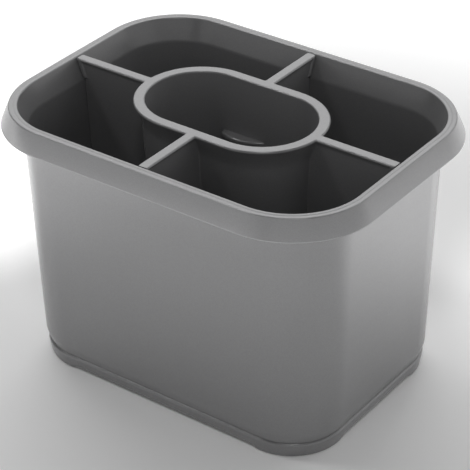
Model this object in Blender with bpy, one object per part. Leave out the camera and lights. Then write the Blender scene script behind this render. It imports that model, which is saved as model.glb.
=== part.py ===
"""Cutlery drainer: a bin with a folded rim, a lift-out divider, a drip tray on four feet, and their pads.

Metres, +Z up. X runs along the long side, the long front faces -Y, and the origin is on the
surface that the drainer stands on, under the middle of the bin.
"""
from math import acos, asin, atan2, cos, hypot, pi, radians, sin, tan

import bmesh
import bpy

# Overall sizes
LENGTH = 0.1968
WIDTH = 0.1478
HEIGHT = 0.135
CORNER_RADIUS = 0.0424

# Clearances
GAP = 0.0003
SLIDE_GAP = 0.0005
OVERRUN = 0.001

# Folded rim of the bin
RIM_DEPTH = 0.0102
RIM_WALL = 0.0016
RIM_EDGE = 0.0007
SKIRT_CROWN = 0.0001
SHOULDER_INSET = 0.0047
SHOULDER_RADIUS = 0.0009
BAND_WIDTH = 0.0038
BAND_EDGE = 0.0007
BAND_THICKNESS = 0.002

# Body of the bin
WALL = 0.0023
BODY_INSET = 0.0101
BODY_LEAN = 0.0041
COLLAR_DEPTH = 0.011
BODY_FOOT = 0.008
BEND_START = 0.0145
BEND_RADIUS = 0.01
BEND_ANGLE = radians(20)
FOOT_WALL = 0.0019
FLOOR_UNDERSIDE = 0.012
FLOOR_THICKNESS = 0.002
FLOOR_FILLET = 0.004

# Drain holes in the bin's floor
HOLE_RADIUS = 0.0019
HOLE_PITCH = 0.014
HOLE_LAND = 0.0018
HOLE_START_SHARE = 0.5

# Divider: a well with four partitions
WELL_STRAIGHT = 0.01785
WELL_RADIUS = 0.0252
WELL_LEAN = 0.0054
WELL_WALL = 0.0023
WELL_WALL_FOOT = 0.002
LIP_WIDTH = 0.0055
LIP_EDGE = 0.0009
LIP_INNER_EDGE = 0.0005
FLARE_DEPTH = 0.0135
DIVIDER_DROP = 0.0003
PARTITION_BEAD = 0.0053
PARTITION_STEP = 0.0012
PARTITION_WALL = 0.0038
PARTITION_WALL_FOOT = 0.002
PARTITION_END_RADIUS = 0.0006
PARTITION_END_SHARE = 0.3
PARTITION_PANEL_RADIUS = 0.0006
PARTITION_FILLET = 0.0008
TAB_LENGTH = 0.0014
TAB_STEP = 0.0004
NOTCH_DEPTH = 0.0014
NOTCH_HEIGHT = 0.0012
NOTCH_SLOPE = 0.0003

# Finger ledges inside the well
LEDGE_DROP = 0.0292
LEDGE_REACH = 0.0051
LEDGE_THICKNESS = 0.002
LEDGE_START = -0.0223
LEDGE_MIDDLE = -0.012
LEDGE_RADIUS = 0.0205
LEDGE_CORNER = 0.0018
LEDGE_EDGE = 0.0009

# Drip tray
PLINTH_TOP_INSET = 0.0149
PLINTH_TOP_EDGE = 0.0014
PLINTH_INSET = 0.0159
PLINTH_EDGE = 0.0004
TRAY_UNDERSIDE = 0.002
TRAY_FLOOR = 0.002
TRAY_FILLET = 0.002
UPSTAND_WALL = 0.0014
UPSTAND_EDGE = 0.0004
FOOT_WIDTH = 0.014
FOOT_RUN = 0.0055
FOOT_SLOPE = 0.0015

# Pads under the feet
PAD_RADIUS = 0.005
PAD_PROUD = 0.0003
PAD_THICKNESS = 0.0015
PAD_EDGE = 0.0003
PAD_MARGIN = 0.0014

# Facets
CORNER_STEPS = 12
SKIRT_STEPS = 3
SHOULDER_STEPS = 3
EDGE_STEPS = 2
FILLET_STEPS = 3
PLINTH_STEPS = 3
WELL_STEPS = 8
FOOT_STEPS = 4
TAB_STEPS = 3
HOLE_STEPS = 10
PAD_STEPS = 24
SMOOTH_ANGLE = radians(40)
ROUND_SHARE = 0.5

# Places worked out from the sizes above
BEND_X = LENGTH / 2 - CORNER_RADIUS
BEND_Y = WIDTH / 2 - CORNER_RADIUS
RIM_FOOT = HEIGHT - RIM_DEPTH
CREASE = HEIGHT - COLLAR_DEPTH
BAND_INSET = SHOULDER_INSET + BAND_WIDTH
FLOOR_TOP = FLOOR_UNDERSIDE + FLOOR_THICKNESS
DIVIDER_TOP = HEIGHT - DIVIDER_DROP
DIVIDER_FOOT = FLOOR_TOP + GAP
PLINTH_TOP = BODY_FOOT - GAP


def arc(centre, radius, start, end, steps):
    """Points along a circle from one angle to another, both ends included."""
    angles = [start + (end - start) * k / steps for k in range(steps + 1)]
    return [(centre[0] + radius * cos(a), centre[1] + radius * sin(a)) for a in angles]


def body_inset(height):
    """How far the bin's outer wall stands in from the rim's outermost outline."""
    return BODY_INSET + BODY_LEAN * (RIM_FOOT - height) / (RIM_FOOT - BODY_FOOT)


def foot_inset():
    """The same at the wall's foot, where it has bent in and run on straight."""
    straight = BEND_START - BEND_RADIUS * sin(BEND_ANGLE) - BODY_FOOT
    return body_inset(BEND_START) + BEND_RADIUS * (1 - cos(BEND_ANGLE)) + straight * tan(BEND_ANGLE)


def recess_inset():
    """The same for the inner side of the wall that stands below the bin's floor."""
    return foot_inset() + FOOT_WALL


def inner_inset(height):
    """The same for the bin's inner wall, which flares out above the crease."""
    if height <= CREASE:
        return body_inset(height) + WALL
    share = (height - CREASE) / COLLAR_DEPTH
    return (1 - share) * (body_inset(CREASE) + WALL) + share * BAND_INSET


def rounded_rectangle(inset, height, run_steps=0):
    """Outline of the drainer, drawn in by an inset; run_steps adds points before and after each corner."""
    radius = CORNER_RADIUS - inset
    points = []
    for quarter, (side_x, side_y) in enumerate(((1, 1), (-1, 1), (-1, -1), (1, -1))):
        start = quarter * pi / 2
        bend = arc((side_x * BEND_X, side_y * BEND_Y), radius, start, start + pi / 2, CORNER_STEPS)
        before = [(bend[0][0] + sin(start) * FOOT_RUN * k / run_steps,
                   bend[0][1] - cos(start) * FOOT_RUN * k / run_steps) for k in range(run_steps, 0, -1)]
        after = [(bend[-1][0] - cos(start) * FOOT_RUN * k / run_steps,
                  bend[-1][1] - sin(start) * FOOT_RUN * k / run_steps) for k in range(1, run_steps + 1)]
        points += before + bend + after
    return [(x, y, height) for x, y in points]


def obround(radius, height, steps):
    """Outline with two straight sides and two round ends, along X."""
    ends = arc((WELL_STRAIGHT, 0), radius, -pi / 2, pi / 2, steps)
    ends += arc((-WELL_STRAIGHT, 0), radius, pi / 2, 3 * pi / 2, steps)
    return [(x, y, height) for x, y in ends]


def loft(bm, rings):
    """Joins closed rings of one point count with faces and returns their vertices."""
    loops = [[bm.verts.new(point) for point in ring] for ring in rings]
    for lower, upper in zip(loops, loops[1:]):
        for i in range(len(lower)):
            j = (i + 1) % len(lower)
            bm.faces.new((lower[i], lower[j], upper[j], upper[i]))
    return loops


def finish(bm, name, material):
    """Turns a bmesh into a named object with smooth round faces and crisp edges."""
    bmesh.ops.recalc_face_normals(bm, faces=bm.faces)
    mesh = bpy.data.meshes.new(name)
    bm.to_mesh(mesh)
    bm.free()
    mesh.shade_smooth()
    mesh.set_sharp_from_angle(angle=SMOOTH_ANGLE)
    mesh.materials.append(material)
    obj = bpy.data.objects.new(name, mesh)
    bpy.context.collection.objects.link(obj)
    return obj


def principled(name, colour, roughness, metallic):
    """Plastic or rubber with one colour."""
    material = bpy.data.materials.new(name)
    material.use_nodes = True
    shader = material.node_tree.nodes["Principled BSDF"]
    shader.inputs["Base Color"].default_value = (*colour, 1)
    shader.inputs["Roughness"].default_value = roughness
    shader.inputs["Metallic"].default_value = metallic
    material.diffuse_color = (*colour, 1)
    return material


def cut(obj, cutter):
    """Takes a cutter's shape out of an object."""
    cutter.hide_render = True
    cutter.display_type = "WIRE"
    modifier = obj.modifiers.new(cutter.name, "BOOLEAN")
    modifier.operation = "DIFFERENCE"
    modifier.solver = "EXACT"
    modifier.object = cutter


def join(obj, addition):
    """Adds a guide's shape to an object."""
    addition.hide_render = True
    addition.display_type = "WIRE"
    modifier = obj.modifiers.new(addition.name, "BOOLEAN")
    modifier.operation = "UNION"
    modifier.solver = "EXACT"
    modifier.object = addition


def posts(places, radius, foot, top, steps):
    """Upright round posts, as one mesh of separate bodies."""
    bm = bmesh.new()
    for x, y in places:
        rings = [[(x + dx, y + dy, z) for dx, dy in arc((0, 0), radius, 0, 2 * pi, steps)[:-1]]
                 for z in (foot, top)]
        loops = loft(bm, rings)
        bm.faces.new(loops[0])
        bm.faces.new(loops[-1])
    return bm


def rim_profile():
    """Folded rim from the top of the wall's outer side, round the channel and skirt, to the collar."""
    skirt_foot = RIM_FOOT + RIM_EDGE
    shoulder_height = HEIGHT - SHOULDER_RADIUS
    across = SHOULDER_INSET - RIM_EDGE
    rise = shoulder_height - skirt_foot
    lean = atan2(across, rise) - asin((SHOULDER_RADIUS - RIM_EDGE) / hypot(across, rise))
    collar_lean = atan2(inner_inset(CREASE) - BAND_INSET, COLLAR_DEPTH)
    channel_top = HEIGHT - BAND_THICKNESS
    skirt_start = RIM_EDGE * (1 - cos(lean)) + RIM_WALL / cos(lean)
    skirt_height = skirt_foot + RIM_EDGE * sin(lean)
    channel = [
        (body_inset(CREASE), CREASE),
        (inner_inset(channel_top) - WALL / cos(collar_lean), channel_top),
        (skirt_start + (channel_top - skirt_height) * tan(lean), channel_top),
        (skirt_start - (skirt_height - RIM_FOOT) * tan(lean), RIM_FOOT),
    ]
    turn = atan2(4 * SKIRT_CROWN, rise)
    edge = arc((RIM_EDGE, skirt_foot), RIM_EDGE, 3 * pi / 2, pi, FILLET_STEPS)
    edge += arc((RIM_EDGE, skirt_foot), RIM_EDGE, pi, pi - lean + turn, EDGE_STEPS)[1:]
    shoulder = arc((SHOULDER_INSET, shoulder_height), SHOULDER_RADIUS, pi - lean - turn, pi / 2,
                   SHOULDER_STEPS)
    foot, top = edge[-1], shoulder[0]
    skirt = []
    for k in range(1, SKIRT_STEPS):
        share = k / SKIRT_STEPS
        crown = 4 * SKIRT_CROWN * share * (1 - share)
        skirt.append(((1 - share) * foot[0] + share * top[0] - crown * cos(lean),
                      (1 - share) * foot[1] + share * top[1] + crown * sin(lean)))
    band_edge = arc((BAND_INSET - BAND_EDGE, HEIGHT - BAND_EDGE), BAND_EDGE, pi / 2, 0, EDGE_STEPS)
    return channel + edge + skirt + shoulder + band_edge


def bin_profile():
    """Section through the bin's wall, from under the floor, round the rim, down to the floor's top."""
    recess = [(recess_inset(), FLOOR_UNDERSIDE), (recess_inset(), BODY_FOOT), (foot_inset(), BODY_FOOT)]
    bend = arc((body_inset(BEND_START) + BEND_RADIUS, BEND_START), BEND_RADIUS,
               pi + BEND_ANGLE, pi, FILLET_STEPS)
    inner = [(inner_inset(CREASE), CREASE)]
    fillet_top = FLOOR_TOP + FLOOR_FILLET
    fillet = arc((inner_inset(fillet_top) + FLOOR_FILLET, fillet_top), FLOOR_FILLET,
                 pi, 3 * pi / 2, FILLET_STEPS)
    return recess + bend + rim_profile() + inner + fillet


def drain_places():
    """Middles of the drain holes, clear of the wall's bend and of the divider's walls."""
    flat_inset = inner_inset(FLOOR_TOP + FLOOR_FILLET) + FLOOR_FILLET
    reach_x = LENGTH / 2 - flat_inset
    reach_y = WIDTH / 2 - flat_inset
    bend_radius = CORNER_RADIUS - flat_inset
    margin = HOLE_RADIUS + HOLE_LAND
    wall_middle = well_inner(DIVIDER_FOOT) + WELL_WALL_FOOT / 2
    wall_margin = WELL_WALL_FOOT / 2 + margin
    places = []
    columns = int(reach_x / HOLE_PITCH + 1)
    rows = int(reach_y / HOLE_PITCH + 1)
    for column in range(columns):
        for row in range(rows):
            x = (column + HOLE_START_SHARE) * HOLE_PITCH
            y = (row + HOLE_START_SHARE) * HOLE_PITCH
            past_x = max(x - BEND_X, 0)
            past_y = max(y - BEND_Y, 0)
            in_corner = past_x > 0 and past_y > 0
            limit = bend_radius - margin
            if in_corner and hypot(past_x, past_y) > limit:
                continue
            if x > reach_x - margin or y > reach_y - margin:
                continue
            from_axis = hypot(max(x - WELL_STRAIGHT, 0), y)
            if abs(from_axis - wall_middle) < wall_margin:
                continue
            places += [(x, y), (-x, y), (-x, -y), (x, -y)]
    return places


def make_bin(material):
    """Outer bin: drafted walls, perforated floor, flared collar and a folded rim."""
    bm = bmesh.new()
    loops = loft(bm, [rounded_rectangle(inset, height) for inset, height in bin_profile()])
    bm.faces.new(loops[0])
    bm.faces.new(loops[-1])
    obj = finish(bm, "bin", material)
    holes = posts(drain_places(), HOLE_RADIUS, FLOOR_UNDERSIDE - OVERRUN, FLOOR_TOP + OVERRUN, HOLE_STEPS)
    cut(obj, finish(holes, "drain_hole_cutter", material))
    return obj


def divider_share(height):
    """0 at the divider's top and 1 at its foot."""
    return (DIVIDER_TOP - height) / (DIVIDER_TOP - DIVIDER_FOOT)


def well_inner(height):
    """Radius of the well's inner wall, which leans in towards its foot."""
    return WELL_RADIUS - divider_share(height) * WELL_LEAN


def well_outer(height):
    """Radius of the well's outer wall, which flares out to the lip."""
    share = divider_share(height)
    wall = (1 - share) * WELL_WALL + share * WELL_WALL_FOOT
    flare_share = max(FLARE_DEPTH - DIVIDER_TOP + height, 0) / (FLARE_DEPTH - LIP_EDGE)
    return well_inner(height) + wall + (LIP_WIDTH - WELL_WALL) * flare_share ** 2


def divider_outline(panel, tab, end_radius, outer, reach_inset, height):
    """Plan of the divider at one height: four partitions, each with a tab at its end, around the well."""
    reach_x = LENGTH / 2 - reach_inset
    reach_y = WIDTH / 2 - reach_inset
    blend = PARTITION_FILLET
    lean = asin((panel + blend) / (outer + blend))
    blend_x = WELL_STRAIGHT + (outer + blend) * cos(lean)
    tab_x = reach_x - end_radius - TAB_LENGTH
    tab_y = reach_y - end_radius - TAB_LENGTH
    quarter = arc((reach_x - end_radius, tab - end_radius), end_radius, 0, pi / 2, EDGE_STEPS)
    quarter += [(tab_x, tab), (tab_x - TAB_STEP, panel)]
    quarter += arc((blend_x, panel + blend), blend, -pi / 2, lean - pi, EDGE_STEPS)
    quarter += arc((WELL_STRAIGHT, 0), outer, lean, pi / 2, WELL_STEPS)[1:]
    quarter += arc((panel + blend, outer + blend), blend, -pi / 2, -pi, EDGE_STEPS)
    quarter += [(panel, tab_y - TAB_STEP), (tab, tab_y)]
    quarter += arc((tab - end_radius, reach_y - end_radius), end_radius, 0, pi / 2, EDGE_STEPS)
    points = quarter + [(-x, y) for x, y in reversed(quarter)]
    points += [(-x, -y) for x, y in quarter] + [(x, -y) for x, y in reversed(quarter)]
    return [(x, y, height) for x, y in points]


def bead_ring(shrink, height):
    """The divider's outline at its lip and beads, drawn in by a little at the rounded top edge."""
    half = PARTITION_BEAD / 2 - shrink
    return divider_outline(half, half, PARTITION_END_RADIUS, WELL_RADIUS + LIP_WIDTH - shrink,
                           inner_inset(height) + GAP + PARTITION_END_SHARE * shrink, height)


def panel_ring(height, retreat=0, tab=0):
    """The divider's outline at its thin walls; tab is the half thickness of the ends, where it differs."""
    share = divider_share(height)
    half = ((1 - share) * PARTITION_WALL + share * PARTITION_WALL_FOOT) / 2
    return divider_outline(half, tab or half, PARTITION_PANEL_RADIUS, well_outer(height),
                           inner_inset(height) + GAP + retreat, height)


def divider_rings():
    """Outer rings of the divider from its top to its foot."""
    rings = []
    for k in range(FILLET_STEPS + 1):
        angle = pi / 2 * (1 - k / FILLET_STEPS)
        rings.append(bead_ring(LIP_EDGE * (1 - cos(angle)), DIVIDER_TOP - LIP_EDGE * (1 - sin(angle))))
    tab = PARTITION_BEAD / 2
    tab_foot = CREASE + NOTCH_HEIGHT + 2 * NOTCH_SLOPE
    bead_foot = DIVIDER_TOP - LIP_EDGE - PARTITION_STEP
    for k in range(TAB_STEPS):
        rings.append(panel_ring(bead_foot + (tab_foot - bead_foot) * k / TAB_STEPS, 0, tab))
    rings.append(panel_ring(tab_foot, 0, tab))
    rings.append(panel_ring(tab_foot - NOTCH_SLOPE, NOTCH_DEPTH))
    rings.append(panel_ring(CREASE + NOTCH_SLOPE, NOTCH_DEPTH))
    rings.append(panel_ring(CREASE))
    rings.append(panel_ring(DIVIDER_TOP - FLARE_DEPTH))
    rings.append(panel_ring(FLOOR_TOP + FLOOR_FILLET))
    rings.append(panel_ring(DIVIDER_FOOT, FLOOR_FILLET))
    return rings


def fill_between(bm, loop, other):
    """Closes a flat ring between two loops of vertices."""
    edges = [bm.edges.get((ring[i - 1], ring[i])) for ring in (loop, other) for i in range(len(ring))]
    bmesh.ops.triangle_fill(bm, edges=edges, use_beauty=True)


def make_ledge(material):
    """One finger ledge on the well's far wall: a low curve, blunt at one end and run out at the other."""
    wall = well_inner(DIVIDER_TOP - LEDGE_DROP)
    root = wall + WELL_WALL_FOOT / 2
    centre = (LEDGE_MIDDLE, wall - LEDGE_REACH + LEDGE_RADIUS)
    corner_reach = LEDGE_RADIUS - LEDGE_CORNER
    turn = asin((LEDGE_MIDDLE - LEDGE_START - LEDGE_CORNER) / corner_reach)
    corner = (LEDGE_START + LEDGE_CORNER, centre[1] - corner_reach * cos(turn))
    spread = acos((LEDGE_RADIUS - LEDGE_REACH) / LEDGE_RADIUS)
    edge = arc(corner, LEDGE_CORNER, pi, 3 * pi / 2 - turn, FILLET_STEPS)
    edge += arc(centre, LEDGE_RADIUS, 3 * pi / 2 - turn, 3 * pi / 2 + spread, WELL_STEPS)[1:]
    outline = [(LEDGE_START, root)] + edge + [(edge[-1][0], root)]
    top = DIVIDER_TOP - LEDGE_DROP
    bm = bmesh.new()
    loops = loft(bm, [[(x, y, z) for x, y in outline] for z in (top - LEDGE_THICKNESS, top)])
    bm.faces.new(loops[0])
    bm.faces.new(loops[-1])
    upper = loops[-1]
    crest = [bm.edges.get(pair) for pair in zip(upper, upper[1:])]
    bmesh.ops.bevel(bm, geom=crest, offset=LEDGE_EDGE, segments=EDGE_STEPS, affect="EDGES",
                    profile=ROUND_SHARE)
    return finish(bm, "finger_ledge", material)


def make_divider(material):
    """Lift-out divider: an obround well on four partitions that part the bin into five."""
    bm = bmesh.new()
    outer = loft(bm, divider_rings())
    steps = 2 * WELL_STEPS
    edge_foot = DIVIDER_TOP - LIP_INNER_EDGE
    inner = loft(bm, [obround(well_inner(edge_foot) + LIP_INNER_EDGE, DIVIDER_TOP, steps),
                      obround(well_inner(edge_foot), edge_foot, steps),
                      obround(well_inner(DIVIDER_FOOT), DIVIDER_FOOT, steps)])
    fill_between(bm, outer[0], inner[0])
    fill_between(bm, outer[-1], inner[-1])
    obj = finish(bm, "divider", material)
    for name, turn in (("ledge_far", 0), ("ledge_near", pi)):
        ledge = make_ledge(material)
        ledge.name = name
        ledge.rotation_euler = (0, 0, turn)
        join(obj, ledge)
    return obj


def foot_drop(x, y):
    """1 at a corner of the tray, where a foot stands, and 0 along its sides, with a soft S between."""
    past = min(abs(x) - BEND_X, abs(y) - BEND_Y)
    share = min(max(1 + past / FOOT_RUN, 0), 1)
    return share * share * (3 - 2 * share)


def tray_ring(inset, height, foot=0):
    """One ring of the tray; foot is the height that its corners drop to, where it is given."""
    points = rounded_rectangle(inset, height, FOOT_STEPS)
    if not foot:
        return points
    return [(x, y, height + (foot - height) * foot_drop(x, y)) for x, y, height in points]


def tray_rings():
    """Rings of the drip tray from under its floor, up the plinth and over the upstand, to its floor."""
    foot = PAD_PROUD
    foot_inner = PLINTH_INSET + FOOT_WIDTH
    upstand = recess_inset() + SLIDE_GAP
    upstand_top = FLOOR_UNDERSIDE - GAP
    inner = upstand + UPSTAND_WALL
    floor_top = TRAY_UNDERSIDE + TRAY_FLOOR
    rings = [
        tray_ring(foot_inner + FOOT_SLOPE, TRAY_UNDERSIDE),
        tray_ring(foot_inner, TRAY_UNDERSIDE, foot),
    ]
    for inset, lift in arc((PLINTH_EDGE, PLINTH_EDGE), PLINTH_EDGE, 3 * pi / 2, pi, EDGE_STEPS):
        rings.append(tray_ring(PLINTH_INSET + inset, TRAY_UNDERSIDE + lift, foot + lift))
    rings += [tray_ring(*place) for place in arc((PLINTH_TOP_INSET + PLINTH_TOP_EDGE,
                                                  PLINTH_TOP - PLINTH_TOP_EDGE),
                                                 PLINTH_TOP_EDGE, pi, pi / 2, PLINTH_STEPS)]
    rings.append(tray_ring(upstand, PLINTH_TOP))
    rings.append(tray_ring(upstand, upstand_top - UPSTAND_EDGE))
    rings.append(tray_ring(upstand + UPSTAND_EDGE, upstand_top))
    rings.append(tray_ring(inner - UPSTAND_EDGE, upstand_top))
    rings.append(tray_ring(inner, upstand_top - UPSTAND_EDGE))
    rings += [tray_ring(*place) for place in arc((inner + TRAY_FILLET, floor_top + TRAY_FILLET),
                                                 TRAY_FILLET, pi, 3 * pi / 2, EDGE_STEPS)]
    return rings


def pad_places():
    """Middles of the four pads, on the diagonals of the tray's corners."""
    reach = CORNER_RADIUS - PLINTH_INSET - PLINTH_EDGE - PAD_MARGIN - PAD_RADIUS
    x = BEND_X + reach * cos(pi / 4)
    y = BEND_Y + reach * sin(pi / 4)
    return {"front_left": (-x, -y), "front_right": (x, -y), "back_right": (x, y), "back_left": (-x, y)}


def make_tray(material):
    """Drip tray under the bin: a plinth on four corner feet, with an upstand inside the bin's foot."""
    bm = bmesh.new()
    loops = loft(bm, tray_rings())
    bm.faces.new(loops[0])
    bm.faces.new(loops[-1])
    obj = finish(bm, "drip_tray", material)
    pockets = posts(pad_places().values(), PAD_RADIUS + GAP, -OVERRUN, PAD_THICKNESS + GAP, PAD_STEPS)
    cut(obj, finish(pockets, "pad_pocket_cutter", material))
    return obj


def make_pad(name, place, material):
    """Round non-slip pad, recessed in a foot and a little proud of it."""
    bm = bmesh.new()
    section = arc((PAD_RADIUS - PAD_EDGE, PAD_EDGE), PAD_EDGE, 3 * pi / 2, 2 * pi, EDGE_STEPS)
    section.append((PAD_RADIUS, PAD_THICKNESS))
    rings = [[(x, y, z) for x, y in arc((0, 0), radius, 0, 2 * pi, PAD_STEPS)[:-1]] for radius, z in section]
    loops = loft(bm, rings)
    bm.faces.new(loops[0])
    bm.faces.new(loops[-1])
    obj = finish(bm, name, material)
    obj.location = (*place, 0)
    return obj


def main():
    for obj in list(bpy.data.objects):
        bpy.data.objects.remove(obj)
    plastic = principled("metallic_grey_plastic", (0.21, 0.21, 0.215), 0.34, 0.35)
    rubber = principled("soft_rubber", (0.03, 0.03, 0.031), 0.8, 0)
    make_bin(plastic)
    make_divider(plastic)
    make_tray(plastic)
    for corner, place in pad_places().items():
        make_pad("non_slip_pad_" + corner, place, rubber)


main()
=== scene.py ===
"""Looks of the cutlery drainer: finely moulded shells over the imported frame, plastic and rubber
materials, a pale floor and soft studio light.

Metres, +Z up, in the row frame: X along the long side, -Y towards the long front.
"""

from math import acos, asin, atan2, cos, hypot, pi, radians, sin, tan

import bmesh
import bpy
from mathutils import Matrix, Vector


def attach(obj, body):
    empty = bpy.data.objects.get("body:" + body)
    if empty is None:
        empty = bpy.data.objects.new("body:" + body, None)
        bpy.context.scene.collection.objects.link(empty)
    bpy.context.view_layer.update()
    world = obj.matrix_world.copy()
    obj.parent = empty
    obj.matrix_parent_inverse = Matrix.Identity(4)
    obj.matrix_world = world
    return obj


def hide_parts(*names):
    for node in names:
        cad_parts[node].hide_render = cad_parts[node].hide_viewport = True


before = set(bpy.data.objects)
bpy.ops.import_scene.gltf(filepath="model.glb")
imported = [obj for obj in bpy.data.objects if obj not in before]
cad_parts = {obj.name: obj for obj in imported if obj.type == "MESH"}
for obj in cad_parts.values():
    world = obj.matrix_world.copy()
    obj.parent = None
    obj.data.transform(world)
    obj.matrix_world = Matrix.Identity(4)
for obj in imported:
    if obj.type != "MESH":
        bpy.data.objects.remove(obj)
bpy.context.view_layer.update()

# Overall sizes, and gaps between the pieces
LENGTH = 0.1968
WIDTH = 0.1478
HEIGHT = 0.135
CORNER_RADIUS = 0.0424
GAP = 0.0003
SLIDE_GAP = 0.0005
SEAT_GAP = 0.00006
END_GAP = 0.00015
OVERRUN = 0.001

# Folded rim of the bin
RIM_DEPTH = 0.0102
RIM_WALL = 0.0016
RIM_EDGE = 0.0007
SKIRT_CROWN = 0.0001
SHOULDER_INSET = 0.0047
SHOULDER_RADIUS = 0.0009
BAND_WIDTH = 0.0038
BAND_EDGE = 0.0009
BAND_THICKNESS = 0.002
BAND_DISH = 0.00012
BAND_GROOVE = 0.00008

# Body of the bin
WALL = 0.0023
BODY_INSET = 0.0101
BODY_LEAN = 0.0041
COLLAR_DEPTH = 0.011
CREASE_ROUND = 0.0009
BODY_FOOT = 0.008
BODY_FOOT_EDGE = 0.00012
BEND_START = 0.0145
BEND_RADIUS = 0.01
BEND_ANGLE = radians(20)
FOOT_WALL = 0.0019
FLOOR_UNDERSIDE = 0.012
FLOOR_THICKNESS = 0.002
FLOOR_FILLET = 0.004

# Drain holes in the bin's floor
HOLE_RADIUS = 0.0019
HOLE_PITCH = 0.014
HOLE_LAND = 0.0018
HOLE_START_SHARE = 0.5

# Divider
WELL_STRAIGHT = 0.01785
WELL_RADIUS = 0.0252
WELL_LEAN = 0.0054
WELL_WALL = 0.0023
WELL_WALL_FOOT = 0.002
LIP_WIDTH = 0.0055
LIP_EDGE = 0.0009
LIP_INNER_EDGE = 0.0008
FLARE_DEPTH = 0.0135
DIVIDER_DROP = 0.0003
PARTITION_BEAD = 0.0053
PARTITION_STEP = 0.0012
PARTITION_WALL = 0.0038
PARTITION_WALL_FOOT = 0.002
PARTITION_END_RADIUS = 0.0006
PARTITION_END_SHARE = 0.3
PARTITION_PANEL_RADIUS = 0.0006
PARTITION_FILLET = 0.0008
TAB_LENGTH = 0.0014
TAB_STEP = 0.0004
NOTCH_DEPTH = 0.0014
NOTCH_HEIGHT = 0.0012
NOTCH_SLOPE = 0.0003

# Finger ledges inside the well
LEDGE_DROP = 0.0292
LEDGE_REACH = 0.0051
LEDGE_THICKNESS = 0.002
LEDGE_START = -0.0223
LEDGE_MIDDLE = -0.012
LEDGE_RADIUS = 0.0205
LEDGE_CORNER = 0.0018
LEDGE_EDGE = 0.0009

# Drip tray and pads
PLINTH_TOP_INSET = 0.0149
PLINTH_TOP_EDGE = 0.0014
PLINTH_INSET = 0.0159
PLINTH_EDGE = 0.0004
TRAY_UNDERSIDE = 0.002
TRAY_FLOOR = 0.002
TRAY_FILLET = 0.002
UPSTAND_WALL = 0.0014
UPSTAND_EDGE = 0.0004
FOOT_WIDTH = 0.014
FOOT_RUN = 0.0055
FOOT_SLOPE = 0.0015
PAD_RADIUS = 0.005
PAD_PROUD = 0.0003
PAD_THICKNESS = 0.0015
PAD_EDGE = 0.0003
PAD_MARGIN = 0.0014

# Facets
CORNER_STEPS = 40
SKIRT_STEPS = 10
SHOULDER_STEPS = 12
EDGE_STEPS = 5
FILLET_STEPS = 8
PLINTH_STEPS = 8
WELL_STEPS = 28
FOOT_STEPS = 14
TAB_STEPS = 6
HOLE_STEPS = 28
PAD_STEPS = 64
BAND_STEPS = 16
BAND_GROOVE_STEP = 9
SMOOTH_ANGLE = radians(32)
NORMAL_WEIGHT = 60

# Places worked out from the sizes above
BEND_X = LENGTH / 2 - CORNER_RADIUS
BEND_Y = WIDTH / 2 - CORNER_RADIUS
RIM_FOOT = HEIGHT - RIM_DEPTH
CREASE = HEIGHT - COLLAR_DEPTH
BAND_INSET = SHOULDER_INSET + BAND_WIDTH
FLOOR_TOP = FLOOR_UNDERSIDE + FLOOR_THICKNESS
DIVIDER_TOP = HEIGHT - DIVIDER_DROP
DIVIDER_FOOT = FLOOR_TOP + GAP
PLINTH_TOP = BODY_FOOT - GAP
SHELL_FOOT = PLINTH_TOP + SEAT_GAP

# Plastic; a noise is its scale, detail, roughness and stretch, and levels are its lowest and highest shade
PLASTIC_COLOUR = (0.24, 0.24, 0.243)
PLASTIC_METALLIC = 0.25
PLASTIC_ROUGHNESS = 0.27
FLOW_MARKS = (30, 1, 0.5, (1, 1, 0.2))
FLOW_LEVELS = (0.985, 1.015)
FLAKE_SCALE = 3600
FLAKE_LEVELS = (0.94, 1.06)
GRAIN = (5200, 2, 0.6)
GRAIN_DEPTH = 0.000012
GRAIN_STRENGTH = 0.5

# Rubber of the pads; the last two of its levels are the noise values that they start and end at
RUBBER_COLOUR = (0.022, 0.022, 0.023)
RUBBER_ROUGHNESS = 0.78
MOTTLE = (300, 3, 0.6)
MOTTLE_LEVELS = (0.85, 1.15, 0.3, 0.7)
PEBBLE = (2600, 3, 0.6)
PEBBLE_DEPTH = 0.00008
PEBBLE_STRENGTH = 0.6

# Studio floor: how far it reaches each way, how far under the pads it lies, and its matt surface
GROUND_REACH = 12
GROUND_DROP = 0.00005
GROUND_COLOUR = (0.86, 0.86, 0.86)
GROUND_ROUGHNESS = 0.9
GROUND_SPECULAR = 0.1
GROUND_CLOUDS = (9, 2)
GROUND_LEVELS = (0.995, 1.005, 0.3, 0.7)

# Camera: where the photograph was taken from
VIEW_AZIMUTH = radians(36.643)
VIEW_ELEVATION = radians(32.34)
VIEW_ROLL = radians(-0.86)
VIEW_DISTANCE = 0.94382
VIEW_SIDE = 0.00096
VIEW_RISE = -0.00123
VIEW_LENS = 152.82
VIEW_SENSOR = 36

# Soft lights: azimuth, elevation and apparent width in degrees, and strength
LIGHTS = {
    "back_top": (120, 62, 60, 0.3),
    "left_top": (205, 56, 10, 0.4),
    "front_top": (305, 62, 10, 0.36),
    "back": (135, 35, 60, 1.42),
    "back_right": (75, 35, 60, 0.5),
    "low_back": (60, 8, 44, 0.37),
    "low_right": (12, 12, 64, 0.46),
    "low_left": (240, 10, 56, 0.31),
    "low_front": (308, 12, 60, 0.31),
}

# Painted light on the studio floor, as glowing pools: middle, the two distances between which it changes,
# and the levels at them; the first is faint right by the drainer and bright farther out
PAINTED_FLOOR_LIGHT_POOLS = (
    ((0, 0), 0.18, 0.55, 0.04, 0.89),
    ((0.22, 0.2), 0.08, 0.2, 1.12, 0),
    ((-0.26, -0.24), 0.08, 0.2, 0.95, 0),
    ((-0.27, 0.04), 0.06, 0.16, 1.1, 0),
)

# Painted light on the floor in front, as a glow: direction, the two distances between which it rises, and
# its level
PAINTED_FRONT_FLOOR_LIGHT = ((0, -1), 0.28, 0.42, 1.5)


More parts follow.
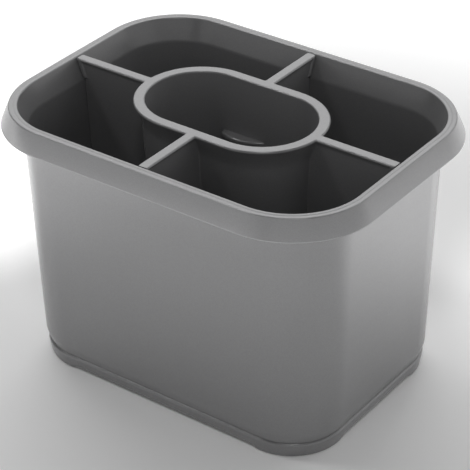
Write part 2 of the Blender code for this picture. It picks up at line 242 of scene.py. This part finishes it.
def arc(centre, radius, start, end, steps):
    """Points along a circle from one angle to another, both ends included."""
    angles = [start + (end - start) * k / steps for k in range(steps + 1)]
    return [(centre[0] + radius * cos(a), centre[1] + radius * sin(a)) for a in angles]


def body_inset(height):
    """How far the bin's outer wall stands in from the rim's outermost outline."""
    return BODY_INSET + BODY_LEAN * (RIM_FOOT - height) / (RIM_FOOT - BODY_FOOT)


def foot_inset():
    """How far in that wall stands at its foot, where it has bent in and run on straight."""
    straight = BEND_START - BEND_RADIUS * sin(BEND_ANGLE) - BODY_FOOT
    return body_inset(BEND_START) + BEND_RADIUS * (1 - cos(BEND_ANGLE)) + straight * tan(BEND_ANGLE)


def recess_inset():
    """How far in the inner side of the wall stands below the bin's floor."""
    return foot_inset() + FOOT_WALL


def plinth_top(inset):
    """Height of the tray's rounded ledge at an inset."""
    past = max(PLINTH_TOP_INSET + PLINTH_TOP_EDGE - inset, 0)
    return PLINTH_TOP - PLINTH_TOP_EDGE * (1 - cos(asin(past / PLINTH_TOP_EDGE)))


def inner_inset(height):
    """How far in the bin's inner wall stands; it flares out above the crease."""
    if height <= CREASE:
        return body_inset(height) + WALL
    share = (height - CREASE) / COLLAR_DEPTH
    return (1 - share) * (body_inset(CREASE) + WALL) + share * BAND_INSET


def rounded_rectangle(inset, height, run_steps=0):
    """Outline of the drainer, drawn in by an inset, with extra points beside its bends if asked for."""
    radius = CORNER_RADIUS - inset
    points = []
    for quarter, (side_x, side_y) in enumerate(((1, 1), (-1, 1), (-1, -1), (1, -1))):
        start = quarter * pi / 2
        bend = arc((side_x * BEND_X, side_y * BEND_Y), radius, start, start + pi / 2, CORNER_STEPS)
        before = [(bend[0][0] + sin(start) * FOOT_RUN * k / run_steps,
                   bend[0][1] - cos(start) * FOOT_RUN * k / run_steps) for k in range(run_steps, 0, -1)]
        after = [(bend[-1][0] - cos(start) * FOOT_RUN * k / run_steps,
                  bend[-1][1] - sin(start) * FOOT_RUN * k / run_steps) for k in range(1, run_steps + 1)]
        points += before + bend + after
    return [(x, y, height) for x, y in points]


def obround(radius, height, steps):
    """Outline with two straight sides and two round ends, along X."""
    ends = arc((WELL_STRAIGHT, 0), radius, -pi / 2, pi / 2, steps)
    ends += arc((-WELL_STRAIGHT, 0), radius, pi / 2, 3 * pi / 2, steps)
    return [(x, y, height) for x, y in ends]


def circle(centre, radius, height, steps):
    """Round closed ring."""
    return [(x, y, height) for x, y in arc(centre, radius, 0, 2 * pi, steps)[:-1]]


def rounding(radius, steps):
    """How far in and down the points of a rounded edge lie, from its top to its side."""
    angles = [pi / 2 * (1 - k / steps) for k in range(steps + 1)]
    return [(radius * (1 - cos(a)), radius * (1 - sin(a))) for a in angles]


def loft(bm, rings):
    """Joins closed rings of one point count with faces and returns their vertices."""
    loops = [[bm.verts.new(point) for point in ring] for ring in rings]
    for lower, upper in zip(loops, loops[1:]):
        for i in range(len(lower)):
            j = (i + 1) % len(lower)
            bm.faces.new((lower[i], lower[j], upper[j], upper[i]))
    return loops


def close(bm, rings):
    """Joins rings into a closed body, with a flat face over the first and the last."""
    loops = loft(bm, rings)
    bm.faces.new(loops[0])
    bm.faces.new(loops[-1])


def smooth(mesh):
    """Shades round faces smooth and keeps edges crisp."""
    mesh.shade_smooth()
    mesh.set_sharp_from_angle(angle=SMOOTH_ANGLE)


def finish(bm, name, material):
    """Turns a bmesh into a named object with one material."""
    bmesh.ops.recalc_face_normals(bm, faces=bm.faces)
    mesh = bpy.data.meshes.new(name)
    bm.to_mesh(mesh)
    bm.free()
    smooth(mesh)
    mesh.materials.append(material)
    obj = bpy.data.objects.new(name, mesh)
    bpy.context.scene.collection.objects.link(obj)
    return obj


def weigh_normals(obj):
    """Keeps the large faces flat where they run into small round edges."""
    modifier = obj.modifiers.new("weighted_normals", "WEIGHTED_NORMAL")
    modifier.keep_sharp = True
    modifier.weight = NORMAL_WEIGHT


def settle(obj):
    """Applies an object's modifiers to its mesh."""
    depsgraph = bpy.context.evaluated_depsgraph_get()
    mesh = bpy.data.meshes.new_from_object(obj.evaluated_get(depsgraph), depsgraph=depsgraph)
    obj.modifiers.clear()
    obj.data = mesh


# Shells

def rim_profile():
    """Folded rim from the top of the wall's outer side, round the channel and skirt, to the collar."""
    skirt_foot = RIM_FOOT + RIM_EDGE
    shoulder_height = HEIGHT - SHOULDER_RADIUS
    across = SHOULDER_INSET - RIM_EDGE
    rise = shoulder_height - skirt_foot
    lean = atan2(across, rise) - asin((SHOULDER_RADIUS - RIM_EDGE) / hypot(across, rise))
    collar_lean = atan2(inner_inset(CREASE) - BAND_INSET, COLLAR_DEPTH)
    channel_top = HEIGHT - BAND_THICKNESS
    skirt_start = RIM_EDGE * (1 - cos(lean)) + RIM_WALL / cos(lean)
    skirt_height = skirt_foot + RIM_EDGE * sin(lean)
    channel = [
        (body_inset(CREASE), CREASE),
        (inner_inset(channel_top) - WALL / cos(collar_lean), channel_top),
        (skirt_start + (channel_top - skirt_height) * tan(lean), channel_top),
        (skirt_start - (skirt_height - RIM_FOOT) * tan(lean), RIM_FOOT),
    ]
    turn = atan2(4 * SKIRT_CROWN, rise)
    edge = arc((RIM_EDGE, skirt_foot), RIM_EDGE, 3 * pi / 2, pi, FILLET_STEPS)
    edge += arc((RIM_EDGE, skirt_foot), RIM_EDGE, pi, pi - lean + turn, EDGE_STEPS)[1:]
    shoulder = arc((SHOULDER_INSET, shoulder_height), SHOULDER_RADIUS, pi - lean - turn, pi / 2,
                   SHOULDER_STEPS)
    foot, top = edge[-1], shoulder[0]
    skirt = []
    for k in range(1, SKIRT_STEPS):
        share = k / SKIRT_STEPS
        crown = 4 * SKIRT_CROWN * share * (1 - share)
        skirt.append(((1 - share) * foot[0] + share * top[0] - crown * cos(lean),
                      (1 - share) * foot[1] + share * top[1] + crown * sin(lean)))
    flat = BAND_WIDTH - BAND_EDGE
    dish = [(SHOULDER_INSET + flat * k / BAND_STEPS,
             HEIGHT - BAND_DISH * (1 - cos(2 * pi * k / BAND_STEPS)) / 2
             - BAND_GROOVE * (k == BAND_GROOVE_STEP)) for k in range(1, BAND_STEPS)]
    band_edge = arc((BAND_INSET - BAND_EDGE, HEIGHT - BAND_EDGE), BAND_EDGE, pi / 2, 0, EDGE_STEPS)
    return channel + edge + skirt + shoulder + dish + band_edge


def crease_profile():
    """Softly rounded crease between the collar and the inner wall."""
    heights = (CREASE + CREASE_ROUND, CREASE, CREASE - CREASE_ROUND)
    start, middle, end = [(inner_inset(height), height) for height in heights]
    points = []
    for k in range(EDGE_STEPS + 1):
        share = k / EDGE_STEPS
        points.append(tuple((1 - share) ** 2 * a + 2 * share * (1 - share) * b + share ** 2 * c
                            for a, b, c in zip(start, middle, end)))
    return points


def bin_profile():
    """Section through the bin's wall, from under the floor, round the rim, down to the floor's top."""
    foot = foot_inset()
    toe = plinth_top(foot) + SEAT_GAP
    recess = [
        (recess_inset(), FLOOR_UNDERSIDE),
        (recess_inset(), SHELL_FOOT + BODY_FOOT_EDGE),
        (recess_inset() - BODY_FOOT_EDGE, SHELL_FOOT),
        (foot + BODY_FOOT_EDGE, toe),
        (foot, toe + BODY_FOOT_EDGE),
    ]
    bend = arc((body_inset(BEND_START) + BEND_RADIUS, BEND_START), BEND_RADIUS,
               pi + BEND_ANGLE, pi, FILLET_STEPS)
    fillet_top = FLOOR_TOP + FLOOR_FILLET
    fillet = arc((inner_inset(fillet_top) + FLOOR_FILLET, fillet_top), FLOOR_FILLET,
                 pi, 3 * pi / 2, FILLET_STEPS)
    return recess + bend + rim_profile() + crease_profile() + fillet


def drain_places():
    """Middles of the drain holes, clear of the wall's bend and of the divider's walls."""
    flat_inset = inner_inset(FLOOR_TOP + FLOOR_FILLET) + FLOOR_FILLET
    reach_x = LENGTH / 2 - flat_inset
    reach_y = WIDTH / 2 - flat_inset
    bend_radius = CORNER_RADIUS - flat_inset
    margin = HOLE_RADIUS + HOLE_LAND
    wall_middle = well_inner(DIVIDER_FOOT) + WELL_WALL_FOOT / 2
    wall_margin = WELL_WALL_FOOT / 2 + margin
    limit = bend_radius - margin
    places = []
    for column in range(int(reach_x / HOLE_PITCH + 1)):
        for row in range(int(reach_y / HOLE_PITCH + 1)):
            x = (column + HOLE_START_SHARE) * HOLE_PITCH
            y = (row + HOLE_START_SHARE) * HOLE_PITCH
            past_x = max(x - BEND_X, 0)
            past_y = max(y - BEND_Y, 0)
            in_corner = past_x > 0 and past_y > 0
            if in_corner and hypot(past_x, past_y) > limit:
                continue
            if x > reach_x - margin or y > reach_y - margin:
                continue
            from_axis = hypot(max(x - WELL_STRAIGHT, 0), y)
            if abs(from_axis - wall_middle) < wall_margin:
                continue
            places += [(x, y), (-x, y), (-x, -y), (x, -y)]
    return places


def posts(places, radius, foot, top, steps):
    """Upright round posts, as one mesh of separate bodies."""
    bm = bmesh.new()
    for place in places:
        close(bm, [circle(place, radius, height, steps) for height in (foot, top)])
    return bm


def cut(obj, cutter):
    """Takes a cutter's shape out of an object and removes the cutter."""
    modifier = obj.modifiers.new(cutter.name, "BOOLEAN")
    modifier.operation = "DIFFERENCE"
    modifier.solver = "EXACT"
    modifier.object = cutter
    settle(obj)
    bpy.data.objects.remove(cutter)


def make_bin(material):
    """Outer bin: drafted walls, perforated floor, flared collar and a folded rim."""
    bm = bmesh.new()
    close(bm, [rounded_rectangle(inset, height) for inset, height in bin_profile()])
    obj = finish(bm, "bin_shell", material)
    holes = posts(drain_places(), HOLE_RADIUS, FLOOR_UNDERSIDE - OVERRUN, FLOOR_TOP + OVERRUN, HOLE_STEPS)
    cut(obj, finish(holes, "drain_hole_cutter", material))
    smooth(obj.data)
    return obj


def divider_share(height):
    """0 at the divider's top and 1 at its foot."""
    return (DIVIDER_TOP - height) / (DIVIDER_TOP - DIVIDER_FOOT)


def well_inner(height):
    """Radius of the well's inner wall, which leans in towards its foot."""
    return WELL_RADIUS - divider_share(height) * WELL_LEAN


def well_outer(height):
    """Radius of the well's outer wall, which flares out to the lip."""
    share = divider_share(height)
    wall = (1 - share) * WELL_WALL + share * WELL_WALL_FOOT
    flare_share = max(FLARE_DEPTH - DIVIDER_TOP + height, 0) / (FLARE_DEPTH - LIP_EDGE)
    return well_inner(height) + wall + (LIP_WIDTH - WELL_WALL) * flare_share ** 2


def divider_outline(panel, tab, end_radius, outer, reach_inset, height):
    """Plan of the divider at one height: four partitions, each with a tab at its end, around the well."""
    reach_x = LENGTH / 2 - reach_inset
    reach_y = WIDTH / 2 - reach_inset
    blend = PARTITION_FILLET
    lean = asin((panel + blend) / (outer + blend))
    blend_x = WELL_STRAIGHT + (outer + blend) * cos(lean)
    tab_x = reach_x - end_radius - TAB_LENGTH
    tab_y = reach_y - end_radius - TAB_LENGTH
    quarter = arc((reach_x - end_radius, tab - end_radius), end_radius, 0, pi / 2, EDGE_STEPS)
    quarter += [(tab_x, tab), (tab_x - TAB_STEP, panel)]
    quarter += arc((blend_x, panel + blend), blend, -pi / 2, lean - pi, EDGE_STEPS)
    quarter += arc((WELL_STRAIGHT, 0), outer, lean, pi / 2, WELL_STEPS)[1:]
    quarter += arc((panel + blend, outer + blend), blend, -pi / 2, -pi, EDGE_STEPS)
    quarter += [(panel, tab_y - TAB_STEP), (tab, tab_y)]
    quarter += arc((tab - end_radius, reach_y - end_radius), end_radius, 0, pi / 2, EDGE_STEPS)
    points = quarter + [(-x, y) for x, y in reversed(quarter)]
    points += [(-x, -y) for x, y in quarter] + [(x, -y) for x, y in reversed(quarter)]
    return [(x, y, height) for x, y in points]


def bead_ring(shrink, height):
    """The divider's outline at its lip and beads, drawn in by a little at the rounded top edge."""
    half = PARTITION_BEAD / 2 - shrink
    return divider_outline(half, half, PARTITION_END_RADIUS, WELL_RADIUS + LIP_WIDTH - shrink,
                           inner_inset(height) + END_GAP + PARTITION_END_SHARE * shrink, height)


def panel_ring(height, retreat=0, tab=0):
    """The divider's outline at its thin walls; tab is the half thickness of the ends, where it differs."""
    share = divider_share(height)
    half = ((1 - share) * PARTITION_WALL + share * PARTITION_WALL_FOOT) / 2
    return divider_outline(half, tab or half, PARTITION_PANEL_RADIUS, well_outer(height),
                           inner_inset(height) + END_GAP + retreat, height)


def divider_rings():
    """Outer rings of the divider from its top to its foot."""
    rings = [bead_ring(inward, DIVIDER_TOP - down) for inward, down in rounding(LIP_EDGE, FILLET_STEPS)]
    tab = PARTITION_BEAD / 2
    tab_foot = CREASE + NOTCH_HEIGHT + 2 * NOTCH_SLOPE
    bead_foot = DIVIDER_TOP - LIP_EDGE - PARTITION_STEP
    for k in range(TAB_STEPS):
        rings.append(panel_ring(bead_foot + (tab_foot - bead_foot) * k / TAB_STEPS, 0, tab))
    rings.append(panel_ring(tab_foot, 0, tab))
    rings.append(panel_ring(tab_foot - NOTCH_SLOPE, NOTCH_DEPTH))
    rings.append(panel_ring(CREASE + NOTCH_SLOPE, NOTCH_DEPTH))
    rings.append(panel_ring(CREASE))
    rings.append(panel_ring(DIVIDER_TOP - FLARE_DEPTH))
    rings.append(panel_ring(FLOOR_TOP + FLOOR_FILLET))
    rings.append(panel_ring(DIVIDER_FOOT, FLOOR_FILLET))
    return rings


def fill_between(bm, loop, other):
    """Closes a flat ring between two loops of vertices."""
    edges = [bm.edges.get((ring[i - 1], ring[i])) for ring in (loop, other) for i in range(len(ring))]
    bmesh.ops.triangle_fill(bm, edges=edges, use_beauty=True)


def add_ledge(bm, turn_about):
    """Adds one finger ledge to the divider's mesh, turned about the upright axis."""
    top = DIVIDER_TOP - LEDGE_DROP
    wall = well_inner(top)
    root = wall + WELL_WALL_FOOT / 2
    centre = (LEDGE_MIDDLE, wall - LEDGE_REACH + LEDGE_RADIUS)
    corner_reach = LEDGE_RADIUS - LEDGE_CORNER
    turn = asin((LEDGE_MIDDLE - LEDGE_START - LEDGE_CORNER) / corner_reach)
    corner = (LEDGE_START + LEDGE_CORNER, centre[1] - corner_reach * cos(turn))
    spread = acos((LEDGE_RADIUS - LEDGE_REACH) / LEDGE_RADIUS)
    levels = [(0, top - LEDGE_THICKNESS)]
    levels += [(back, top - down) for back, down in reversed(rounding(LEDGE_EDGE, EDGE_STEPS))]
    rings = []
    for back, height in levels:
        edge = arc(corner, LEDGE_CORNER - back, pi, 3 * pi / 2 - turn, FILLET_STEPS)
        edge += arc(centre, LEDGE_RADIUS - back, 3 * pi / 2 - turn, 3 * pi / 2 + spread, WELL_STEPS)[1:]
        ring = [(edge[0][0], root)] + edge + [(edge[-1][0], root)]
        rings.append([(x * cos(turn_about) - y * sin(turn_about),
                       x * sin(turn_about) + y * cos(turn_about), height) for x, y in ring])
    close(bm, rings)


def make_divider(material):
    """Lift-out divider: an obround well on four partitions that part the bin into five."""
    bm = bmesh.new()
    outer = loft(bm, divider_rings())
    steps = 2 * WELL_STEPS
    wall = well_inner(DIVIDER_TOP - LIP_INNER_EDGE)
    lip = [obround(wall + outward, DIVIDER_TOP - down, steps)
           for outward, down in rounding(LIP_INNER_EDGE, EDGE_STEPS)]
    inner = loft(bm, lip + [obround(well_inner(DIVIDER_FOOT), DIVIDER_FOOT, steps)])
    fill_between(bm, outer[0], inner[0])
    fill_between(bm, outer[-1], inner[-1])
    add_ledge(bm, 0)
    add_ledge(bm, pi)
    return finish(bm, "divider_shell", material)


def foot_drop(x, y):
    """1 at a corner of the tray, where a foot stands, and 0 along its sides, with a soft S between."""
    past = min(abs(x) - BEND_X, abs(y) - BEND_Y)
    share = min(max(1 + past / FOOT_RUN, 0), 1)
    return share * share * (3 - 2 * share)


def tray_ring(inset, height, foot=0):
    """One ring of the tray; foot is the height that its corners drop to, where it is given."""
    points = rounded_rectangle(inset, height, FOOT_STEPS)
    if not foot:
        return points
    return [(x, y, height + (foot - height) * foot_drop(x, y)) for x, y, height in points]


def tray_rings():
    """Rings of the drip tray from under its floor, up the plinth and over the upstand, to its floor."""
    foot = PAD_PROUD
    foot_inner = PLINTH_INSET + FOOT_WIDTH
    upstand = recess_inset() + SLIDE_GAP
    upstand_top = FLOOR_UNDERSIDE - GAP
    inner = upstand + UPSTAND_WALL
    floor_top = TRAY_UNDERSIDE + TRAY_FLOOR
    rings = [
        tray_ring(foot_inner + FOOT_SLOPE, TRAY_UNDERSIDE),
        tray_ring(foot_inner, TRAY_UNDERSIDE, foot),
    ]
    for inset, lift in arc((PLINTH_EDGE, PLINTH_EDGE), PLINTH_EDGE, 3 * pi / 2, pi, EDGE_STEPS):
        rings.append(tray_ring(PLINTH_INSET + inset, TRAY_UNDERSIDE + lift, foot + lift))
    edge_height = upstand_top - UPSTAND_EDGE
    section = arc((PLINTH_TOP_INSET + PLINTH_TOP_EDGE, PLINTH_TOP - PLINTH_TOP_EDGE), PLINTH_TOP_EDGE,
                  pi, pi / 2, PLINTH_STEPS)
    section.append((upstand, PLINTH_TOP))
    section += arc((upstand + UPSTAND_EDGE, edge_height), UPSTAND_EDGE, pi, pi / 2, EDGE_STEPS)
    section += arc((inner - UPSTAND_EDGE, edge_height), UPSTAND_EDGE, pi / 2, 0, EDGE_STEPS)
    section += arc((inner + TRAY_FILLET, floor_top + TRAY_FILLET), TRAY_FILLET, pi, 3 * pi / 2, EDGE_STEPS)
    return rings + [tray_ring(inset, height) for inset, height in section]


def pad_places():
    """Middles of the four pads, on the diagonals of the tray's corners."""
    reach = CORNER_RADIUS - PLINTH_INSET - PLINTH_EDGE - PAD_MARGIN - PAD_RADIUS
    x = BEND_X + reach * cos(pi / 4)
    y = BEND_Y + reach * sin(pi / 4)
    return {"front_left": (-x, -y), "front_right": (x, -y), "back_right": (x, y), "back_left": (-x, y)}


def make_tray(material):
    """Drip tray under the bin: a plinth on four corner feet, with an upstand inside the bin's foot."""
    bm = bmesh.new()
    close(bm, tray_rings())
    obj = finish(bm, "tray_shell", material)
    pockets = posts(pad_places().values(), PAD_RADIUS + GAP, -OVERRUN, PAD_THICKNESS + GAP, PAD_STEPS)
    cut(obj, finish(pockets, "pad_pocket_cutter", material))
    smooth(obj.data)
    return obj


def make_pad(name, place, material):
    """Round non-slip pad, recessed in a foot and a little proud of it."""
    bm = bmesh.new()
    section = arc((PAD_RADIUS - PAD_EDGE, PAD_EDGE), PAD_EDGE, 3 * pi / 2, 2 * pi, EDGE_STEPS)
    section.append((PAD_RADIUS, PAD_THICKNESS))
    close(bm, [circle(place, radius, height, PAD_STEPS) for radius, height in section])
    return finish(bm, name, material)


# Materials

class Nodes:
    """Short ways to add shader nodes to one material."""

    def __init__(self, name):
        self.material = bpy.data.materials.new(name)
        self.material.use_nodes = True
        self.tree = self.material.node_tree
        self.shader = self.tree.nodes["Principled BSDF"]
        self.place = self.add("ShaderNodeTexCoord").outputs["Object"]

    def add(self, kind, **settings):
        """A new node with its settings."""
        node = self.tree.nodes.new(kind)
        for key, value in settings.items():
            setattr(node, key, value)
        return node

    def link(self, source, target):
        """Joins one node's output to another's input."""
        self.tree.links.new(source, target)

    def noise(self, scale, detail, roughness=0.5, stretch=(1, 1, 1)):
        """Smooth noise from 0 to 1 in the object's own metres."""
        mapping = self.add("ShaderNodeMapping")
        mapping.inputs["Scale"].default_value = stretch
        self.link(self.place, mapping.inputs["Vector"])
        node = self.add("ShaderNodeTexNoise")
        node.inputs["Scale"].default_value = scale
        node.inputs["Detail"].default_value = detail
        node.inputs["Roughness"].default_value = roughness
        self.link(mapping.outputs["Vector"], node.inputs["Vector"])
        return node.outputs["Fac"]

    def cells(self, scale):
        """A random value for each small cell, as flakes in the plastic have."""
        node = self.add("ShaderNodeTexVoronoi")
        node.inputs["Scale"].default_value = scale
        self.link(self.place, node.inputs["Vector"])
        grey = self.add("ShaderNodeSeparateColor")
        self.link(node.outputs["Color"], grey.inputs["Color"])
        return grey.outputs["Red"]

    def spread(self, source, low, high, start=0, end=1, course="LINEAR"):
        """Maps a value from one range to another."""
        node = self.add("ShaderNodeMapRange", interpolation_type=course)
        node.inputs["From Min"].default_value = start
        node.inputs["From Max"].default_value = end
        node.inputs["To Min"].default_value = low
        node.inputs["To Max"].default_value = high
        self.link(source, node.inputs["Value"])
        return node.outputs["Result"]

    def combine(self, operation, first, second):
        """Two values multiplied or added."""
        node = self.add("ShaderNodeMath", operation=operation)
        self.link(first, node.inputs[0])
        self.link(second, node.inputs[1])
        return node.outputs["Value"]

    def measure(self, operation, vector):
        """Distance of each place from a point, or along a direction."""
        node = self.add("ShaderNodeVectorMath", operation=operation)
        self.link(self.place, node.inputs[0])
        node.inputs[1].default_value = (*vector, 0)
        return node.outputs["Value"]

    def around(self, centre, start, end, level, beyond):
        """A value that runs softly from one level to another with the distance from a point."""
        return self.spread(self.measure("DISTANCE", centre), level, beyond, start, end, "SMOOTHSTEP")

    def towards(self, direction, start, end, level):
        """A value that runs softly from 0 to a level with the distance in one direction."""
        return self.spread(self.measure("DOT_PRODUCT", direction), 0, level, start, end, "SMOOTHSTEP")

    def tint(self, colour, amount):
        """A colour times a varying amount, into the shader's base colour."""
        node = self.add("ShaderNodeVectorMath", operation="SCALE")
        node.inputs[0].default_value = colour
        self.link(amount, node.inputs["Scale"])
        self.link(node.outputs["Vector"], self.shader.inputs["Base Color"])

    def bump(self, height, distance, strength):
        """Fine relief on the surface."""
        node = self.add("ShaderNodeBump")
        node.inputs["Distance"].default_value = distance
        node.inputs["Strength"].default_value = strength
        self.link(height, node.inputs["Height"])
        self.link(node.outputs["Normal"], self.shader.inputs["Normal"])


def flaked_plastic(name):
    """Moulded plastic with fine metal flake, faint flow marks and a fine grain."""
    nodes = Nodes(name)
    flow = nodes.spread(nodes.noise(*FLOW_MARKS), *FLOW_LEVELS)
    flake = nodes.spread(nodes.cells(FLAKE_SCALE), *FLAKE_LEVELS)
    nodes.tint(PLASTIC_COLOUR, nodes.combine("MULTIPLY", flow, flake))
    nodes.bump(nodes.noise(*GRAIN), GRAIN_DEPTH, GRAIN_STRENGTH)
    nodes.shader.inputs["Roughness"].default_value = PLASTIC_ROUGHNESS
    nodes.shader.inputs["Metallic"].default_value = PLASTIC_METALLIC
    return nodes.material


def soft_rubber(name):
    """Matt rubber with a fine pebble."""
    nodes = Nodes(name)
    nodes.tint(RUBBER_COLOUR, nodes.spread(nodes.noise(*MOTTLE), *MOTTLE_LEVELS))
    nodes.bump(nodes.noise(*PEBBLE), PEBBLE_DEPTH, PEBBLE_STRENGTH)
    nodes.shader.inputs["Roughness"].default_value = RUBBER_ROUGHNESS
    return nodes.material


def floor_material():
    """Pale matt studio floor with painted light: it glows in pools of its own, faint by the drainer, which
    the drainer's walls mirror.
    """
    nodes = Nodes("studio_floor")
    nodes.tint(GROUND_COLOUR, nodes.spread(nodes.noise(*GROUND_CLOUDS), *GROUND_LEVELS))
    nodes.shader.inputs["Roughness"].default_value = GROUND_ROUGHNESS
    nodes.shader.inputs["Specular IOR Level"].default_value = GROUND_SPECULAR
    # Painted light: the floor glows in front and in pools around the drainer, though it is no lamp
    painted_floor_light = nodes.towards(*PAINTED_FRONT_FLOOR_LIGHT)
    for pool in PAINTED_FLOOR_LIGHT_POOLS:
        painted_floor_light = nodes.combine("ADD", painted_floor_light, nodes.around(*pool))
    nodes.link(painted_floor_light, nodes.shader.inputs["Emission Strength"])
    nodes.shader.inputs["Emission Color"].default_value = (1, 1, 1, 1)
    return nodes.material


# Studio

def make_camera():
    """Camera at the place that the photograph was taken from."""
    forward = Vector((-sin(VIEW_AZIMUTH) * cos(VIEW_ELEVATION),
                      cos(VIEW_AZIMUTH) * cos(VIEW_ELEVATION), -sin(VIEW_ELEVATION)))
    side = Vector((cos(VIEW_AZIMUTH), sin(VIEW_AZIMUTH), 0))
    rise = side.cross(forward)
    target = Vector((0, 0, HEIGHT / 2)) + VIEW_SIDE * side + VIEW_RISE * rise
    eye = target - VIEW_DISTANCE * forward
    across = cos(VIEW_ROLL) * side + sin(VIEW_ROLL) * rise
    upward = cos(VIEW_ROLL) * rise - sin(VIEW_ROLL) * side
    camera = bpy.data.cameras.new("camera")
    camera.sensor_width = VIEW_SENSOR
    camera.lens = VIEW_LENS
    obj = bpy.data.objects.new("camera", camera)
    rows = [(across[k], upward[k], -forward[k], eye[k]) for k in range(3)]
    obj.matrix_world = Matrix((*rows, (0, 0, 0, 1)))
    bpy.context.scene.collection.objects.link(obj)
    bpy.context.scene.camera = obj


def make_floor():
    """Square of studio floor."""
    bm = bmesh.new()
    bm.faces.new([bm.verts.new((x * GROUND_REACH, y * GROUND_REACH, 0))
                  for x, y in ((-1, -1), (1, -1), (1, 1), (-1, 1))])
    floor = finish(bm, "studio_floor", floor_material())
    floor.location.z = -GROUND_DROP


def make_light(name, azimuth, elevation, spread, strength):
    """Broad soft light from one direction, far away."""
    light = bpy.data.lights.new(name, "SUN")
    light.angle = radians(spread)
    light.energy = strength
    obj = bpy.data.objects.new(name, light)
    obj.rotation_euler = (pi / 2 - radians(elevation), 0, pi / 2 + radians(azimuth))
    bpy.context.scene.collection.objects.link(obj)


def make_world():
    """Dark world, so that all light comes from the lights and the floor."""
    world = bpy.data.worlds.new("studio")
    world.use_nodes = True
    world.node_tree.nodes["Background"].inputs["Strength"].default_value = 0
    bpy.context.scene.world = world


def dress():
    """Builds the shells over the frame's nodes."""
    plastic = flaked_plastic("metallic_grey_plastic_finish")
    rubber = soft_rubber("soft_rubber_finish")
    shells = [
        (make_bin(plastic), "bin", "bin", "metallic_grey_plastic"),
        (make_divider(plastic), "divider", "divider", "metallic_grey_plastic"),
        (make_tray(plastic), "tray", "drip_tray", "metallic_grey_plastic"),
    ]
    for corner, place in pad_places().items():
        pad = make_pad("pad_" + corner, place, rubber)
        shells.append((pad, "tray", "non_slip_pad_" + corner, "soft_rubber"))
    for shell, body, node, slot in shells:
        weigh_normals(shell)
        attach(shell, body)
        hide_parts(node)


def light_studio():
    """Puts up the lights in front of the dark world."""
    make_world()
    for name, light in LIGHTS.items():
        make_light(name, *light)


bpy.context.scene.view_settings.view_transform = "Standard"
make_camera()
make_floor()
dress()
light_studio()
